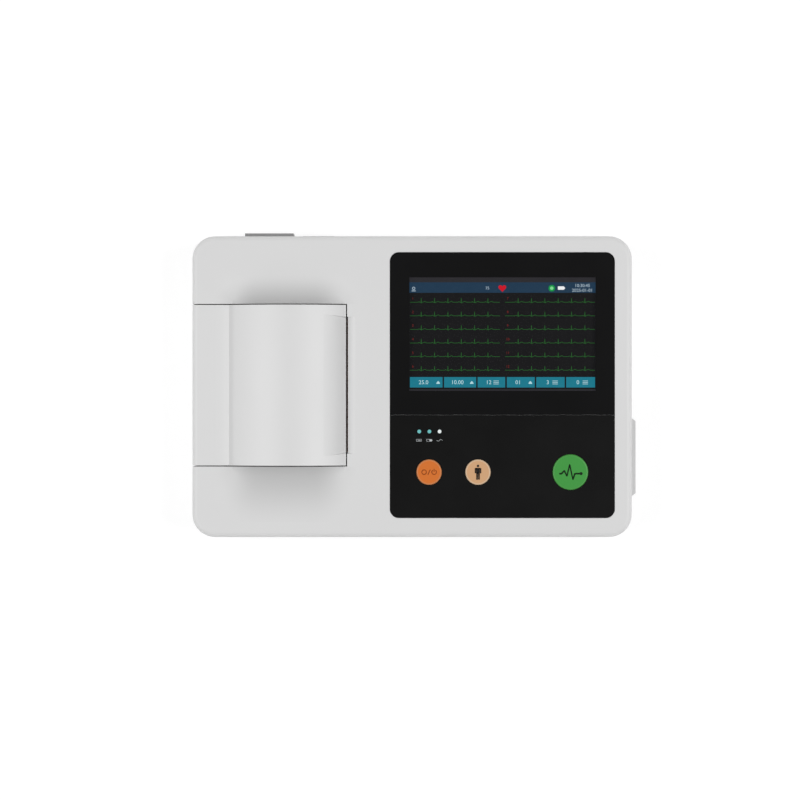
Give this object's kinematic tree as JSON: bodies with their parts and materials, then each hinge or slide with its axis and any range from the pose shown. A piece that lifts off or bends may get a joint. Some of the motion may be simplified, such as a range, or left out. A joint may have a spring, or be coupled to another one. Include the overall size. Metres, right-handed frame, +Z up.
{
  "type": "ecg machine",
  "caption": "Flat desktop electrocardiograph with a colour screen, round keys and a domed printer door that hinges open over a paper roll.",
  "frame": {"origin": "on the table, under the middle of the whole machine with its sockets", "axes": "+X to the right of a person facing the keys, +Y to the back, +Z up"},
  "size_m": [0.2636, 0.1806, 0.061],
  "materials": {
    "housing": "light grey moulded plastic, fine matt finish",
    "black_panel": "black acrylic with printed marks",
    "dark_plastic": "black moulded plastic",
    "inner_plastic": "plain grey moulded plastic",
    "gear_plastic": "natural acetal",
    "orange_key": "orange key cap",
    "peach_key": "peach key cap",
    "green_key": "green key cap",
    "rubber": "black rubber",
    "steel": "plated steel",
    "aluminium": "extruded aluminium",
    "brass": "turned brass",
    "bronze": "dark brown coated steel",
    "board": "circuit board with green lacquer",
    "screen": "lcd glass",
    "ceramic": "glazed ceramic",
    "battery": "blue shrink sleeve",
    "paper": "thermal chart paper",
    "card": "wound card",
    "lamp": "clear light pipe"
  },
  "bodies": {
    "chassis": {"bottom_housing": "housing", "top_housing": "housing", "battery_cover": "housing", "battery_pack": "battery", "rubber_feet": "rubber", "housing_screws": "steel", "display_lens": "black_panel", "keypad_panel": "black_panel", "lcd_frame": "steel", "lcd_glass": "screen", "keypad_board": "board", "key_switches": "dark_plastic", "status_leds": "lamp", "main_board": "board", "board_chips": "dark_plastic", "power_board": "board", "power_parts": "dark_plastic", "interface_boards": "board", "mains_inlet": "dark_plastic", "inlet_pins": "brass", "network_socket": "steel", "usb_sockets": "steel", "patient_socket": "steel", "socket_surround": "housing", "jack_screws": "steel", "printer_frame": "steel", "motor_plate": "steel", "frame_spacers": "steel", "paper_tray": "inner_plastic", "head_pin": "steel", "head_springs": "steel", "feed_motor": "steel", "gear_studs": "steel", "tear_bar": "bronze", "paper_sensor": "dark_plastic", "speaker": "dark_plastic", "hinge_pin": "steel", "board_screws": "steel"},
    "door": {"printer_door": "housing", "platen_carrier": "inner_plastic", "carrier_screws": "steel", "platen_bushes": "gear_plastic"},
    "platen": {"platen_shaft": "steel", "platen_rubber": "rubber", "platen_gear": "gear_plastic"},
    "roll": {"paper_roll": "paper", "paper_core": "card", "paper_spindle": "inner_plastic"},
    "idler": {"idler_gear": "gear_plastic"},
    "compound": {"compound_gear": "gear_plastic"},
    "pinion": {"motor_pinion": "brass"},
    "print_head": {"head_sink": "aluminium", "head_ceramic": "ceramic"},
    "power_button": {"power_key": "orange_key", "power_plunger": "dark_plastic"},
    "patient_button": {"patient_key": "peach_key", "patient_plunger": "dark_plastic"},
    "print_button": {"print_key": "green_key", "print_plunger": "dark_plastic"}
  },
  "joints": [
    {"name": "door_hinge", "type": "hinge", "parent": "chassis", "child": "door", "pos_m": [-0.12775, -0.00045, 0.014], "axis": [0, -1, 0], "range_deg": [0, 88]},
    {"name": "platen_spin", "type": "hinge", "parent": "door", "child": "platen", "pos_m": [-0.04635, -0.00045, 0.041], "axis": [0, -1, 0], "continuous": true},
    {"name": "roll_spin", "type": "hinge", "parent": "chassis", "child": "roll", "pos_m": [-0.08375, -0.00045, 0.031], "axis": [0, -1, 0], "continuous": true},
    {"name": "idler_spin", "type": "hinge", "parent": "chassis", "child": "idler", "pos_m": [-0.04194, -0.00045, 0.02819], "axis": [0, -1, 0], "continuous": true},
    {"name": "compound_spin", "type": "hinge", "parent": "chassis", "child": "compound", "pos_m": [-0.03061, -0.00045, 0.02407], "axis": [0, -1, 0], "continuous": true},
    {"name": "pinion_spin", "type": "hinge", "parent": "chassis", "child": "pinion", "pos_m": [-0.0152, -0.00045, 0.02135], "axis": [0, -1, 0], "continuous": true},
    {"name": "head_pivot", "type": "hinge", "parent": "chassis", "child": "print_head", "pos_m": [-0.03475, -0.00045, 0.024], "axis": [0, 1, 0], "range_deg": [0, 2.5], "stiffness_Nm_per_rad": 2, "deforming": ["head_springs"]},
    {"name": "power_press", "type": "slide", "parent": "chassis", "child": "power_button", "axis": [0, 0, -1], "range_m": [0, 0.0005], "stiffness_N_per_m": 600},
    {"name": "patient_press", "type": "slide", "parent": "chassis", "child": "patient_button", "axis": [0, 0, -1], "range_m": [0, 0.0005], "stiffness_N_per_m": 600},
    {"name": "print_press", "type": "slide", "parent": "chassis", "child": "print_button", "axis": [0, 0, -1], "range_m": [0, 0.0005], "stiffness_N_per_m": 600}
  ],
  "couplings": [
    {"joint": "roll_spin", "follows": "platen_spin", "ratio": 0.25581},
    {"joint": "idler_spin", "follows": "platen_spin", "ratio": -0.8},
    {"joint": "compound_spin", "follows": "platen_spin", "ratio": 1.3333},
    {"joint": "pinion_spin", "follows": "platen_spin", "ratio": -4.4444}
  ]
}
